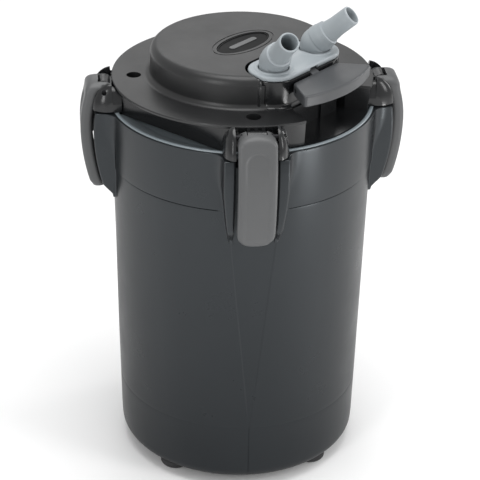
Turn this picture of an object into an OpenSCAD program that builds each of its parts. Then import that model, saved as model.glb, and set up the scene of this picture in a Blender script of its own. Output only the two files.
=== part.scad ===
// External canister filter for an aquarium: a round canister on rubber feet, a head held on by
// four over-rim clips, a motor dome, and a shut-off valve block with two swivelling hose elbows.
// Units are millimetres. The origin is the centre of the footprint on the floor, +Z is up, and
// -Y is the front, where the lever is. The clips stand on the diagonals.

/* [Canister] */
// Outer radius of the canister at its parting line
canister_r = 104.8; // [103:0.1:106]
// Outer radius of the canister just above its bottom corner
canister_foot_r = 99.3; // [97:0.1:101]
// Height of the canister's rim above the floor
rim_z = 309.5; // [305:0.5:312]
// Height of the parting line under the collar band
parting_z = 261; // [250:1:270]
// Wall thickness of the canister
wall = 3; // [2.5:0.1:3.5]
// Height of the rubber feet
foot_h = 8; // [5:0.5:10]
// Number of rubber feet
foot_count = 4; // [3:1:6]
// Radius of a rubber foot
foot_r = 12.5; // [10:0.5:14]

/* [Head] */
// Radius of the head's flange
flange_r = 104; // [102:0.1:104.2]
// Height of the flange's top face
flange_z = 331.7; // [331:0.1:332]
// Thickness of the flange
flange_t = 2.5; // [2:0.1:3]
// Radius of the motor dome
dome_r = 73.3; // [72:0.1:75]
// Height of the dome's top face
dome_z = 357.2; // [357:0.1:358]
// Distance of the flat finger-grip walls from the middle
grip_x = 85; // [83:0.5:88]
// Distance of the cover screws from the middle
screw_r = 86.4; // [85:0.1:88]

/* [Clips] */
// Width of a clip
clip_w = 30; // [26:0.5:30]
// Thickness of a clip's plate
clip_t = 9.5; // [8:0.1:9.5]
// Largest distance of a clip's outer face from the middle
clip_r = 129.7; // [129:0.1:130]
// Radius of the steel clip pins
clip_pin_r = 2; // [1.5:0.1:2]

/* [Valve and ports] */
// Half the distance between the two hose ports
port_x = 25.5; // [24:0.1:26]
// Distance of the ports in front of the middle
port_y = 51; // [50:0.1:52]
// Radius of the water way through the valve
duct_r = 6; // [5:0.1:6]
// Outer radius of the hose nozzle at its tip, for hose of 16 mm bore
nozzle_r = 8; // [7.8:0.1:8.2]
// Slope of the hose nozzles above level, in degrees
nozzle_slope = 42.5; // [42:0.1:50]
// Length of a hose elbow from its bend to its tip
elbow_len = 39.4; // [36:0.1:42]
// Turn of the left elbow outward from straight ahead, in degrees
left_turn = 29; // [10:1:40]
// Turn of the right elbow outward from straight ahead, in degrees
right_turn = 23; // [10:1:40]

/* [Pump and media] */
// Distance of the pump's axis behind the middle
pump_y = 12; // [11:0.5:13]
// Radius of the impeller
impeller_r = 20; // [16:0.5:21]
// Number of impeller blades
blade_count = 6; // [4:1:8]
// Outer radius of the media baskets
basket_r = 94; // [90:0.5:94]
// Height of one media basket
basket_h = 80; // [70:1:80]

/* [Hidden] */
$fn = 96;
tiny = 0.01;

// Colours
charcoal = [0.15, 0.155, 0.16];
black = [0.08, 0.08, 0.085];
clip_grey = [0.40, 0.41, 0.41];
lever_grey = [0.30, 0.31, 0.32];
light_grey = [0.58, 0.60, 0.62];
rubber_black = [0.05, 0.05, 0.05];
steel = [0.75, 0.76, 0.78];
basket_grey = [0.45, 0.47, 0.48];

// Canister
clip_angles = [45, 135, 225, 315];
corner_r = 10;
band_r = canister_r + 0.8;
rim_r = 107;
ledge_z = 304;
ledge_r = 99;
rebate_r = 105.4;
floor_t = 3.5;
floor_z = foot_h + floor_t;
rib_h = 4;
foot_ring_r = 81;
foot_round = 4;
cheek_low_z = 231;
cheek_out = 25;

// Lid and head
lid_r = 101.6;
lid_z = 308.2;
lid_floor_t = 2.5;
lid_top_z = lid_z + lid_floor_t;
skirt_t = 3;
flange_low_z = flange_z - flange_t;
notch_y = 70.5;
cover_t = 2.5;
dome_round = 7;
dome_fillet = 5;
cup_r = 7.4;
screw_well_r = 5.8;
clip_pin_len = 39;
cup_bottom_z = 321;
gland_z = 342;
gland_turn = 22;
cord_r = 3.3;
ear_low_z = rim_z + 1.2;

// Clip pivots and hooks, as distance from the middle and height
pivot = [110.5, 326];
clip_mid_z = 293;
clip_low_z = 236.8;
hub_r = 5.6;
block_w = 14;
ear_gap = 32;
ear_w = 9;
hook_z = 299.6;
hook_r = 107.2;
hook_ledge_r = 110.4;
hook_ledge_z = 300;

// Valve, lever and elbows
plate_r = 19.5;
plate_z = 353.7;
plate_t = 4;
barrel_z = 330;
barrel_r = 13;
barrel_end = 37.5;
gear_r = 15;
gear_w = 8.4;
gear_teeth = 20;
lever_y = 76;
lever_z = barrel_z + sqrt(pow(2 * gear_r, 2) - pow(lever_y - port_y, 2));
lever_mesh = atan2(barrel_z - lever_z, lever_y - port_y);
lever_pin_r = 1.75;
lever_low_z = 342;
lever_top_z = 351.5;
lever_r = 103;
lever_half_in = 27.5;
lever_half_out = 42;
lever_edge_y = 71.9;
bracket_x = 14;
bracket_w = 4.6;
bracket_r = 3.1;
lever_nose_r = 6.4;
spigot_r = 9.64;
socket_r = 9.7;
neck_r = 11.2;
collar_r = 12.8;
bend_z = 363;
sleeve_len = 15;
sleeve_r = 10;
nozzle_root_r = 8.8;
nozzle_straight = 16;
nozzle_lead = 0.5;
straight_z = elbow_len - nozzle_lead;
port_bore_r = 6.5;
running = 0.06;
tube_top_z = 315.8;
duct_out_r = 8;
tube_bore_r = 7.5;

// Pump and media
can_r = 34;
can_top_z = 344;
well_r = 10.4;
chamber_r = 28;
chamber_z = 276;
shaft_r = 1.5;
duct_z = 290;
tube_r = 9.5;
basket_z = floor_z + rib_h + 0.5;
basket_step = basket_h + 0.5;
basket_t = 2;

// Points on an arc about c, from angle a0 to a1 in n steps
function arc(c, r, a0, a1, n = 8) =
    [for (i = [0 : n]) c + r * [cos(a0 + (a1 - a0) * i / n), sin(a0 + (a1 - a0) * i / n)]];

// Outer radius of the canister at height z
function body_r(z) =
    z < parting_z
        ? canister_foot_r + (canister_r - canister_foot_r) * (z - foot_h) / (parting_z - foot_h)
        : band_r + (rim_r - band_r) * (z - parting_z) / (rim_z - parting_z);

// Distance of a clip's outer face from the middle at height z
function clip_face(z) = clip_r - (z > clip_mid_z ? 0.0058 : 0.0029) * pow(z - clip_mid_z, 2);

// Gear outline: straight-sided teeth with room to roll without touching at the flanks
function gear_points(r, teeth, phase) =
    let (pitch = 360 / teeth, share = [-0.24, -0.1, 0.1, 0.24], reach = [-1.7, 1.1, 1.1, -1.7])
    [for (i = [0 : teeth - 1], k = [0 : 3])
        let (a = phase + (i + share[k]) * pitch)
        (r + reach[k]) * [cos(a), sin(a)]];

// Upright tube
module tube(r_out, r_in, z0, z1) {
    translate([0, 0, z0])
        difference() {
            cylinder(r = r_out, h = z1 - z0);
            translate([0, 0, -1]) cylinder(r = r_in, h = z1 - z0 + 2);
        }
}

// Upright cylinder between two heights
module post(r, z0, z1) {
    translate([0, 0, z0]) cylinder(r = r, h = z1 - z0);
}

// Places its children at each cover screw
module at_screws() {
    for (a = clip_angles) rotate(a) translate([screw_r, 0, 0]) children();
}

// Places its children at each motor screw
module at_motor_screws() {
    for (a = [30, 150, 270]) translate([0, pump_y, 0]) rotate(a) translate([40, 0, 0]) children();
}

// Extrudes a (radius, height) outline sideways by w, centred on the clip's own plane
module side_plate(w) {
    rotate([90, 0, 0]) linear_extrude(w, center = true) children();
}

// Cylinder along X, centred on x = 0
module cross_bar(r, w) {
    rotate([0, 90, 0]) cylinder(r = r, h = w, center = true);
}

// Outline round both ports
module port_outline(r) {
    for (x = [-port_x, port_x]) translate([x, -port_y]) circle(r = r);
    translate([-port_x, -port_y - r]) square([2 * port_x, 2 * r]);
}

// Front recess under the lever, seen from above
module notch_outline(grow = 0) {
    polygon([
        [-29 - grow, -notch_y + grow], [33 + grow, -notch_y + grow],
        [47 + grow, -98], [47 + grow, -120], [-43 - grow, -120], [-43 - grow, -100.5]
    ]);
}

// Round lid outline with its three flat finger-grip sides
module lid_outline(r, x) {
    intersection() {
        circle(r = r);
        translate([-x, -120]) square([2 * x, 120 + x]);
    }
}

// ---- Canister ----

// Distance of a cheek's outer edge from the middle at height z
function cheek_r(z) = min(clip_face(z) - clip_t - 0.8, 100.5 + (z - cheek_low_z) * 0.85);

// One cheek beside a clip, seen from above, with its hollow flare into the round wall
module cheek_outline() {
    r = canister_r - 0.8;
    flare = 13;
    x = sqrt(pow(r + flare, 2) - pow(cheek_out + flare, 2));
    turn = atan2(cheek_out + flare, x);
    polygon(concat(
        [[98, ear_gap / 2], [125, ear_gap / 2], [125, cheek_out], [x, cheek_out]],
        arc([x, cheek_out + flare], flare, -90, -180 + turn, 6),
        [[100 * cos(turn), 100 * sin(turn)]]
    ));
}

module cheeks() {
    intersection() {
        translate([0, 0, cheek_low_z])
            linear_extrude(rim_z - cheek_low_z) {
                cheek_outline();
                mirror([0, 1]) cheek_outline();
            }
        side_plate(100)
            polygon(concat(
                [[90, rim_z], [90, cheek_low_z]],
                [for (z = [cheek_low_z : 6 : rim_z - 1]) [cheek_r(z), z]],
                [[cheek_r(rim_z), rim_z]]
            ));
    }
}

module canister_outside() {
    rotate_extrude()
        polygon(concat(
            [[0, foot_h]],
            arc([canister_foot_r - corner_r, foot_h + corner_r], corner_r, -90, 0, 8),
            [
                [body_r(parting_z - 0.8), parting_z - 0.8], [canister_r - 0.6, parting_z - 0.4],
                [canister_r - 0.6, parting_z], [band_r, parting_z + 0.4],
                [rim_r, rim_z], [0, rim_z]
            ]
        ));
}

module canister_inside() {
    rotate_extrude()
        polygon([
            [0, floor_z], [canister_foot_r - wall - 6, floor_z], [canister_foot_r - wall, floor_z + 7],
            [canister_r - wall, parting_z], [rim_r - wall - 0.6, ledge_z - 11],
            [ledge_r, ledge_z - 6], [ledge_r, ledge_z], [rebate_r, ledge_z],
            [rebate_r, rim_z + 1], [0, rim_z + 1]
        ]);
}

module canister() {
    color(charcoal) {
        difference() {
            union() {
                canister_outside();
                for (a = clip_angles) rotate(a) cheeks();
            }
            canister_inside();
        }
        for (a = clip_angles) {
            rotate(a)
                translate([rebate_r + 0.2, -ear_gap / 2 - 1, hook_ledge_z])
                    cube([hook_ledge_r - rebate_r - 0.2, ear_gap + 2, 6]);
        }
        for (a = [0, 90]) {
            rotate(a) translate([-60, -1, floor_z - tiny]) cube([120, 2, rib_h + tiny]);
        }
    }
}

module feet() {
    color(rubber_black)
        for (i = [0 : foot_count - 1]) {
            rotate(i * 360 / foot_count) translate([foot_ring_r, 0, 0])
                rotate_extrude()
                    polygon(concat([[0, 0]], arc([foot_r - foot_round, foot_round], foot_round, -90, 0, 5),
                        [[foot_r, foot_h - 1.5], [foot_r - 1.5, foot_h], [0, foot_h]]));
        }
}

// ---- Seal ----

module seal_frame() {
    color(light_grey)
        rotate_extrude()
            polygon([
                [80, 305], [99.5, 305], [99.5, 307.7], [103.5, 307.7], [103.5, 304.3], [105.2, 304.3],
                [105.2, 309.8], [104.6, 310.5], [102.6, 310.5], [102, 309.9], [102, lid_z], [80, lid_z]
            ]);
}

module lid_gasket() {
    color(rubber_black) rotate_extrude() translate([101.5, ledge_z + 1.85]) circle(r = 1.85, $fn = 32);
}

// ---- Head ----

module clip_ears() {
    ear_rise = 332.6 - ear_low_z;
    difference() {
        for (y = [-ear_gap / 2 - ear_w / 2, ear_gap / 2 + ear_w / 2]) {
            translate([0, y, 0])
                side_plate(ear_w)
                    polygon(concat(
                        [[97, ear_low_z], [97, flange_low_z - 0.1], [flange_r + 0.4, flange_low_z - 0.1]],
                        [for (a = [86 : -8.6 : 0]) [103.6 + 16.4 * cos(a), ear_low_z + ear_rise * sin(a)]]
                    ));
        }
        translate([0, 30 - clip_pin_len / 2, 0])
            side_plate(60) translate(pivot) circle(r = clip_pin_r);
    }
}

module hinge_block() {
    side_plate(block_w)
        difference() {
            union() {
                translate(pivot) circle(r = 4.2);
                polygon([
                    [97, 313], [97, 328.9], [103.6, 328.1], [104.8, 326.4],
                    [pivot[0], pivot[1] + 2], [pivot[0] - 1, pivot[1] - 4]
                ]);
            }
            translate(pivot) circle(r = clip_pin_r);
        }
    for (y = [-5.6, 0, 5.6]) {
        translate([flange_r + 0.2, y - 1.2, 325.8]) cube([0.6, 2.4, 5.2]);
    }
}

module lid_base() {
    color(black)
        difference() {
            union() {
                translate([0, 0, lid_z]) linear_extrude(lid_floor_t) lid_outline(lid_r, grip_x);
                translate([0, 0, lid_top_z - tiny])
                    linear_extrude(flange_low_z - lid_top_z + tiny)
                        difference() {
                            lid_outline(lid_r, grip_x);
                            difference() {
                                lid_outline(lid_r - skirt_t, grip_x - skirt_t);
                                notch_outline(skirt_t);
                            }
                            notch_outline();
                            translate([-34.5, -notch_y - 5]) square([70.5, 10]);
                        }
                for (a = clip_angles) {
                    rotate(a) {
                        clip_ears();
                        hinge_block();
                    }
                }
                at_screws() post(cup_r, lid_top_z - tiny, cup_bottom_z);
            }
            at_screws() post(1.9, lid_top_z + 1, cup_bottom_z + 1);
            translate([0, pump_y, 0]) post(can_r + 0.3, lid_z - 1, lid_top_z + 1);
            at_motor_screws() post(1.6, lid_z - 1, lid_top_z + 1);
            translate([port_x, -port_y, 0]) post(tube_r + 0.2, lid_z - 1, lid_top_z + 1);
            translate([-port_x, -port_y, 0]) post(duct_out_r + 0.2, lid_z - 1, lid_top_z + 1);
        }
}

module cover_section() {
    polygon(concat(
        [[dome_r - cover_t, flange_low_z], [flange_r, flange_low_z], [flange_r, flange_z]],
        arc([dome_r + dome_fillet, flange_z + dome_fillet], dome_fillet, -90, -180, 6),
        arc([dome_r - dome_round, dome_z - dome_round], dome_round, 0, 90, 8),
        [[0, dome_z], [0, dome_z - cover_t], [dome_r - dome_round, dome_z - cover_t]],
        arc([dome_r - dome_round, dome_z - dome_round], dome_round - cover_t, 90, 0, 6)
    ));
}

module badge_outline(grow = 0) {
    polygon([for (a = [0 : 6 : 354]) [(28 + grow) * cos(a), (13 + grow) * sin(a)]]);
}

module head_cover() {
    color(charcoal)
        difference() {
            union() {
                rotate_extrude() cover_section();
                at_screws() post(cup_r, cup_bottom_z, flange_z - tiny);
            }
            at_screws() post(screw_well_r, cup_bottom_z + 2, flange_z + 1);
            at_screws() post(2.2, cup_bottom_z - 1, flange_z);
            translate([0, 0, flange_low_z - 1]) linear_extrude(10) notch_outline();
            translate([0, 0, flange_low_z - 1])
                linear_extrude(40) {
                    port_outline(plate_r + 0.8);
                    translate([-port_x, -notch_y - 8]) square([2 * port_x, 20]);
                }
            translate([0, 0, dome_z - 1.2]) linear_extrude(3) badge_outline(0.2);
            rotate(gland_turn)
                translate([dome_r - 12, 0, gland_z])
                    rotate([0, 90, 0]) cylinder(r = cord_r + 0.4, h = 24);
        }
}

module badge() {
    color(black) translate([0, 0, dome_z - 1.2]) linear_extrude(0.9) badge_outline();
}

module cover_screws() {
    color(steel)
        at_screws()
            difference() {
                union() {
                    post(1.9, lid_top_z + 1.5, cup_bottom_z + 2.5);
                    post(5, cup_bottom_z + 2, cup_bottom_z + 5);
                }
                for (t = [0, 90]) rotate(t) translate([-2.8, -0.5, cup_bottom_z + 3.2]) cube([5.6, 1, 3]);
            }
}

module cable_gland() {
    color(rubber_black)
        rotate(gland_turn) translate([dome_r + 0.05, 0, gland_z])
            rotate([0, 90, 0])
                difference() {
                    union() {
                        cylinder(r = 7, h = 5);
                        cylinder(r = 5.4, h = 14);
                    }
                    translate([0, 0, -1]) cylinder(r = cord_r, h = 16);
                }
}

// ---- Clips ----

module clip_pins() {
    color(steel)
        for (a = clip_angles) rotate(a) side_plate(clip_pin_len) translate(pivot) circle(r = clip_pin_r);
}

// Front view of the clip, with round ends
module clip_outline() {
    r = 11;
    h = clip_w / 2 - r;
    for (y = [-h, h], z = [clip_low_z + r, 332 - r]) translate([y, z]) circle(r = r);
    translate([-h, clip_low_z]) square([2 * h, 332 - clip_low_z]);
    translate([-clip_w / 2, clip_low_z + r]) square([clip_w, 332 - clip_low_z - 2 * r]);
}

// Side view of the clip's bowed plate
module clip_profile() {
    top = [115.5, 322];
    tip = [clip_face(242) - clip_t / 2 - 1.2, 242];
    polygon(concat(
        arc(top, 9.8, 115, 0, 8),
        [for (z = [318 : -6 : 246]) [clip_face(z), z]],
        arc(tip, clip_t / 2 + 0.4, 0, -170, 8),
        [for (z = [250 : 6 : 310]) [clip_face(z) - clip_t, z]],
        [[116, 317]]
    ));
}

module clip(angle) {
    rotate(angle)
        color(clip_grey)
            difference() {
                union() {
                    intersection() {
                        side_plate(clip_w) clip_profile();
                        translate([90, 0, 0]) rotate([90, 0, 90]) linear_extrude(50) clip_outline();
                    }
                    side_plate(clip_w - 1.2) translate(pivot) circle(r = hub_r);
                    side_plate(20)
                        polygon([
                            [hook_r, hook_z], [hook_r, hook_z - 4.2], [119, hook_z - 11],
                            [123, hook_z - 11], [123, hook_z]
                        ]);
                }
                side_plate(block_w + 1.2) translate(pivot) circle(r = hub_r + 0.2);
                side_plate(block_w + 1.2)
                    polygon([[100, 318], [100, 334], [pivot[0], pivot[1] + 5], [pivot[0], pivot[1] - 5]]);
                side_plate(clip_w + 2) translate(pivot) circle(r = clip_pin_r + running);
            }
}

module clip_rear_right() { clip(45); }
module clip_rear_left() { clip(135); }
module clip_front_left() { clip(225); }
module clip_front_right() { clip(315); }

// ---- Valve block ----

// Rooms for the plugs, the gear and the lever's toothed sector
module valve_rooms() {
    translate([0, -port_y, barrel_z]) {
        cross_bar(barrel_r + 0.05, 2 * barrel_end + 0.6);
        cross_bar(gear_r + 1.7, gear_w + 0.8);
    }
    translate([0, -lever_y, lever_z]) cross_bar(gear_r + 1.7, gear_w + 0.8);
    for (x = [-port_x, port_x]) translate([x, -port_y, 0]) post(duct_r, lid_top_z - 1, plate_z);
}

module valve_body(z0, z1) {
    translate([0, 0, z0]) linear_extrude(z1 - z0) port_outline(plate_r);
}

module valve_base() {
    color(black)
        difference() {
            union() {
                valve_body(lid_top_z, barrel_z);
                for (x = [-29.4, 9]) {
                    translate([x, -notch_y - 1.5, lid_top_z]) cube([20.4, 14, barrel_z - lid_top_z]);
                }
            }
            valve_rooms();
            translate([port_x, -port_y, 0]) post(tube_r + 0.1, lid_top_z - 1, tube_top_z + 0.2);
            translate([-port_x, -port_y, 0]) post(duct_out_r + 0.1, lid_top_z - 1, tube_top_z + 0.2);
        }
}

// Arm that rises from the block's front wall to the lever's pin
module lever_bracket() {
    cross_bar(bracket_r, bracket_w);
    gear_plate(bracket_w)
        polygon([[-bracket_r, 0], [bracket_r, 0], [bracket_r, -4.5], [7, -8], [7, -16], [-bracket_r, -6]]);
}

module valve_top() {
    color(black)
        difference() {
            union() {
                difference() {
                    valve_body(barrel_z, plate_z);
                    translate([0, -lever_y, lever_z]) cross_bar(lever_nose_r + 0.3, 60);
                }
                for (x = [-bracket_x, bracket_x]) translate([x, -lever_y, lever_z]) lever_bracket();
            }
            valve_rooms();
            for (x = [-port_x, port_x]) {
                translate([x, -port_y, 0]) {
                    post(socket_r, 345, plate_z + 1);
                    post(12.1, 346.2, 348.8);
                    post(collar_r + 0.6, 350, plate_z + 1);
                }
            }
            translate([0, -lever_y, lever_z]) cross_bar(lever_pin_r, 60);
        }
}

module valve_plug(side) {
    color(light_grey)
        difference() {
            translate([0, -port_y, barrel_z])
                rotate([0, side * 90, 0]) {
                    post(barrel_r, gear_w / 2 + 0.6, barrel_end);
                    translate([0, 0, 0.1]) cylinder(r = 5, h = 10);
                }
            translate([side * port_x, -port_y, 0]) post(duct_r, barrel_z - 20, barrel_z + 20);
        }
}

module valve_plug_inlet() { valve_plug(1); }
module valve_plug_outlet() { valve_plug(-1); }

// Turns an outline in (forward-and-up) coordinates into a plate across X
module gear_plate(w) {
    rotate([90, 0, 90]) linear_extrude(w, center = true) children();
}

module valve_gear() {
    color(light_grey)
        translate([0, -port_y, barrel_z])
            gear_plate(gear_w)
                difference() {
                    polygon(gear_points(gear_r, gear_teeth, 180 + lever_mesh));
                    circle(r = 5);
                }
}

module port_seals() {
    color(rubber_black)
        for (x = [-port_x, port_x]) {
            translate([x, -port_y, 347.5]) rotate_extrude() translate([10.9, 0]) circle(r = 1.2, $fn = 32);
        }
}

module connector_plate() {
    color(light_grey)
        difference() {
            union() {
                translate([0, 0, plate_z]) linear_extrude(plate_t) port_outline(plate_r);
                for (x = [-port_x, port_x]) {
                    translate([x, -port_y, 0]) post(14, plate_z, plate_z + plate_t + 0.5);
                }
                intersection() {
                    translate([0, -port_y, plate_z - 14]) cross_bar(plate_r, 2 * port_x - 25);
                    translate([-20, -80, plate_z]) cube([40, 60, 10]);
                }
            }
            for (x = [-port_x, port_x]) {
                translate([x, -port_y, 0]) post(neck_r + 0.4, plate_z - 1, plate_z + 9);
            }
            intersection() {
                translate([0, -lever_y, lever_z]) cross_bar(gear_r + 1.7, gear_w + 0.8);
                translate([-20, -90, plate_z - 1]) cube([40, 60, 3.2]);
            }
        }
}

module elbow(side, turn) {
    color(light_grey)
        translate([side * port_x, -port_y, bend_z])
            rotate([0, 0, -90 + side * turn])
                difference() {
                    union() {
                        sphere(r = neck_r);
                        translate([0, 0, 345.3 - bend_z]) cylinder(r = spigot_r, h = 8);
                        translate([0, 0, 350.5 - bend_z]) cylinder(r = collar_r, h = 2.6);
                        translate([0, 0, 352.9 - bend_z]) cylinder(r = neck_r, h = bend_z - 352.9);
                        rotate([0, 90 - nozzle_slope, 0]) {
                            cylinder(r1 = neck_r, r2 = sleeve_r, h = sleeve_len);
                            cylinder(r1 = nozzle_root_r, r2 = nozzle_r, h = straight_z - nozzle_straight);
                            cylinder(r = nozzle_r, h = straight_z);
                            translate([0, 0, straight_z])
                                cylinder(r1 = nozzle_r, r2 = nozzle_r - nozzle_lead, h = nozzle_lead);
                        }
                    }
                    sphere(r = port_bore_r);
                    translate([0, 0, 340 - bend_z]) cylinder(r = port_bore_r, h = bend_z - 340);
                    rotate([0, 90 - nozzle_slope, 0]) cylinder(r = port_bore_r, h = elbow_len + 1);
                }
}

module elbow_inlet() { elbow(1, right_turn); }
module elbow_outlet() { elbow(-1, left_turn); }

// ---- Lever ----

module lever_plan() {
    a = asin(lever_half_out / lever_r);
    polygon(concat(
        [[lever_half_in, -lever_edge_y], [-lever_half_in, -lever_edge_y]],
        arc([0, 0], lever_r, -90 - a, -90 + a, 14)
    ));
}

// Toothed sector that turns the valve gear
module lever_sector() {
    translate([0, -lever_y, lever_z])
        gear_plate(gear_w)
            intersection() {
                difference() {
                    polygon(gear_points(gear_r, gear_teeth, lever_mesh + 180 / gear_teeth));
                    circle(r = lever_pin_r + running);
                }
                polygon([
                    [-6, -4], 30 * [cos(lever_mesh - 9), sin(lever_mesh - 9)],
                    30 * [cos(lever_mesh + 66), sin(lever_mesh + 66)], [-6, 0]
                ]);
            }
}

module lever() {
    color(lever_grey) {
        difference() {
            translate([0, 0, lever_low_z]) linear_extrude(lever_top_z - lever_low_z) lever_plan();
            translate([0, -lever_y, lever_z]) cross_bar(lever_pin_r + running, 100);
            for (x = [-bracket_x, bracket_x]) {
                translate([x - bracket_w / 2 - 0.5, -lever_y - 4.5, lever_low_z - 1])
                    cube([bracket_w + 1, 20, lever_z + 3.7 - lever_low_z + 1]);
            }
            translate([0, -lever_y, lever_z])
                gear_plate(80)
                    difference() {
                        translate([0, -7]) square([8, 14]);
                        circle(r = lever_nose_r);
                    }
        }
        lever_sector();
    }
}

module lever_pin() {
    color(steel) translate([0, -lever_y, lever_z]) cross_bar(lever_pin_r, 46);
}

// ---- Pump ----

module motor_housing() {
    color(black)
        translate([0, pump_y, 0])
            difference() {
                union() {
                    post(can_r, 304, can_top_z);
                    post(46, 304, lid_z);
                }
                difference() {
                    post(can_r - 2, 306, can_top_z - 2);
                    post(well_r + 2, 300, 332);
                }
                post(well_r, 300, 330);
                for (a = [30, 150, 270]) rotate(a) translate([40, 0, 0]) post(1.8, 300, 310);
            }
}

module motor_screws() {
    color(steel)
        at_motor_screws() {
            post(1.6, 303.9, lid_top_z - 0.2);
            post(3.2, 301.5, 304);
        }
}

module stator_core() {
    color(steel)
        translate([0, pump_y, 0]) {
            for (x = [-21, 13]) translate([x, -9, 308]) cube([8, 18, 26.5]);
            translate([-21, -9, 334]) cube([42, 18, 5]);
        }
}

module stator_coil() {
    color([0.7, 0.4, 0.2])
        translate([0, pump_y, 0])
            difference() {
                translate([-11, -12, 332.3]) cube([22, 24, 9]);
                translate([-12, -9, 334]) cube([24, 18, 5]);
            }
}

module rotor_magnet() {
    color([0.2, 0.2, 0.22]) translate([0, pump_y, 0]) tube(9.6, shaft_r + running, 302, 328);
}

module impeller() {
    color([0.85, 0.85, 0.82])
        translate([0, pump_y, 0])
            difference() {
                union() {
                    post(5, 283, 302);
                    post(9.6, 298.5, 300);
                    for (i = [0 : blade_count - 1]) {
                        rotate(i * 360 / blade_count)
                            translate([2, -0.8, 284]) cube([impeller_r - 2, 1.6, 13]);
                    }
                }
                post(shaft_r + running, 280, 305);
            }
}

module impeller_shaft() {
    color([0.9, 0.9, 0.88]) translate([0, pump_y, 0]) post(shaft_r, 277.5, 329.8);
}

module shaft_bushes() {
    color(rubber_black)
        translate([0, pump_y, 0]) {
            difference() {
                post(6, 328.4, 330);
                post(shaft_r, 328, 329.8);
            }
            difference() {
                post(3.6, 277, 281.5);
                post(shaft_r, 277.5, 282);
            }
        }
}

module pump_chamber() {
    color(basket_grey)
        translate([0, pump_y, 0])
            difference() {
                union() {
                    difference() {
                        post(chamber_r, chamber_z, 304);
                        post(chamber_r - 2.5, chamber_z + 2.5, 305);
                        post(9.5, chamber_z - 1, 280);
                    }
                    for (a = [90, 210, 330]) rotate(a) translate([3, -1.2, chamber_z]) cube([8, 2.4, 2.5]);
                    post(5, chamber_z, 281.5);
                }
                post(3.6, 277, 282);
                duct_path(duct_r);
            }
}

// Bored run from the pump chamber to below the outlet port, in the pump's own coordinates
module duct_path(r) {
    start = [-14, -14];
    corner = [-port_x, -port_y - pump_y];
    run = corner - start;
    translate([start[0], start[1], duct_z])
        rotate([0, 90, atan2(run[1], run[0])]) cylinder(r = r, h = norm(run));
}

module outlet_duct() {
    color(basket_grey)
        translate([0, pump_y, 0])
            difference() {
                union() {
                    duct_path(duct_out_r);
                    translate([-port_x, -port_y - pump_y, 0])
                        post(duct_out_r, duct_z - duct_out_r - 1, tube_top_z);
                }
                duct_path(duct_r);
                translate([-port_x, -port_y - pump_y, 0]) post(duct_r, duct_z - duct_r, tube_top_z + 1);
                post(chamber_r + 0.02, chamber_z - 10, 310);
            }
}

module intake_tube() {
    color(basket_grey)
        translate([port_x, -port_y, 0]) tube(tube_r, tube_bore_r, floor_z + 12, tube_top_z);
}

// ---- Media ----

module basket(level) {
    z0 = basket_z + level * basket_step;
    color(basket_grey)
        translate([0, 0, z0])
            difference() {
                union() {
                    tube(basket_r, basket_r - basket_t, 0, basket_h);
                    difference() {
                        cylinder(r = basket_r - basket_t + tiny, h = basket_t);
                        for (y = [-72 : 12 : 72]) {
                            w = sqrt(pow(basket_r - 10, 2) - pow(y, 2));
                            for (s = [-1, 1]) {
                                translate([s > 0 ? 4 : -w, y - 2, -1]) cube([w - 4, 4, basket_t + 2]);
                            }
                        }
                    }
                    translate([port_x, -port_y, 0]) cylinder(r = 13.5, h = basket_h);
                }
                translate([port_x, -port_y, -1]) cylinder(r = 11.5, h = basket_h + 2);
                for (a = [0, 180]) {
                    rotate(a) translate([basket_r - 6, -18, basket_h - 16]) cube([12, 36, 10]);
                }
            }
}

module basket_lower() { basket(0); }
module basket_middle() { basket(1); }
module basket_upper() { basket(2); }

module media(level, h) {
    translate([0, 0, basket_z + level * basket_step + basket_t + 0.2])
        difference() {
            cylinder(r = basket_r - basket_t - 0.6, h = h);
            translate([port_x, -port_y, -1]) cylinder(r = 14, h = h + 2);
        }
}

module coarse_foam() { color([0.15, 0.25, 0.4]) media(0, 60); }
module bio_media() { color([0.85, 0.8, 0.7]) media(1, 58); }
module fine_pad() { color([0.95, 0.95, 0.95]) media(2, 50); }

canister();
feet();
seal_frame();
lid_gasket();
lid_base();
head_cover();
badge();
cover_screws();
clip_pins();
clip_front_left();
clip_front_right();
clip_rear_left();
clip_rear_right();
valve_base();
valve_top();
valve_plug_inlet();
valve_plug_outlet();
valve_gear();
connector_plate();
port_seals();
elbow_inlet();
elbow_outlet();
lever();
lever_pin();
cable_gland();
motor_housing();
motor_screws();
stator_core();
stator_coil();
rotor_magnet();
impeller();
impeller_shaft();
shaft_bushes();
pump_chamber();
outlet_duct();
intake_tube();
basket_lower();
basket_middle();
basket_upper();
coarse_foam();
bio_media();
fine_pad();
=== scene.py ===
"""Canister filter for an aquarium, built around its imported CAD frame.

Shapes are worked out in millimetres, in the frame's own axes: +Z up, the lever at -Y and the
clips on the diagonals. A mesh is turned into metres as it is made.
"""

import math

import bmesh
import bpy
import numpy as np
from mathutils import Matrix, Vector


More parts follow.
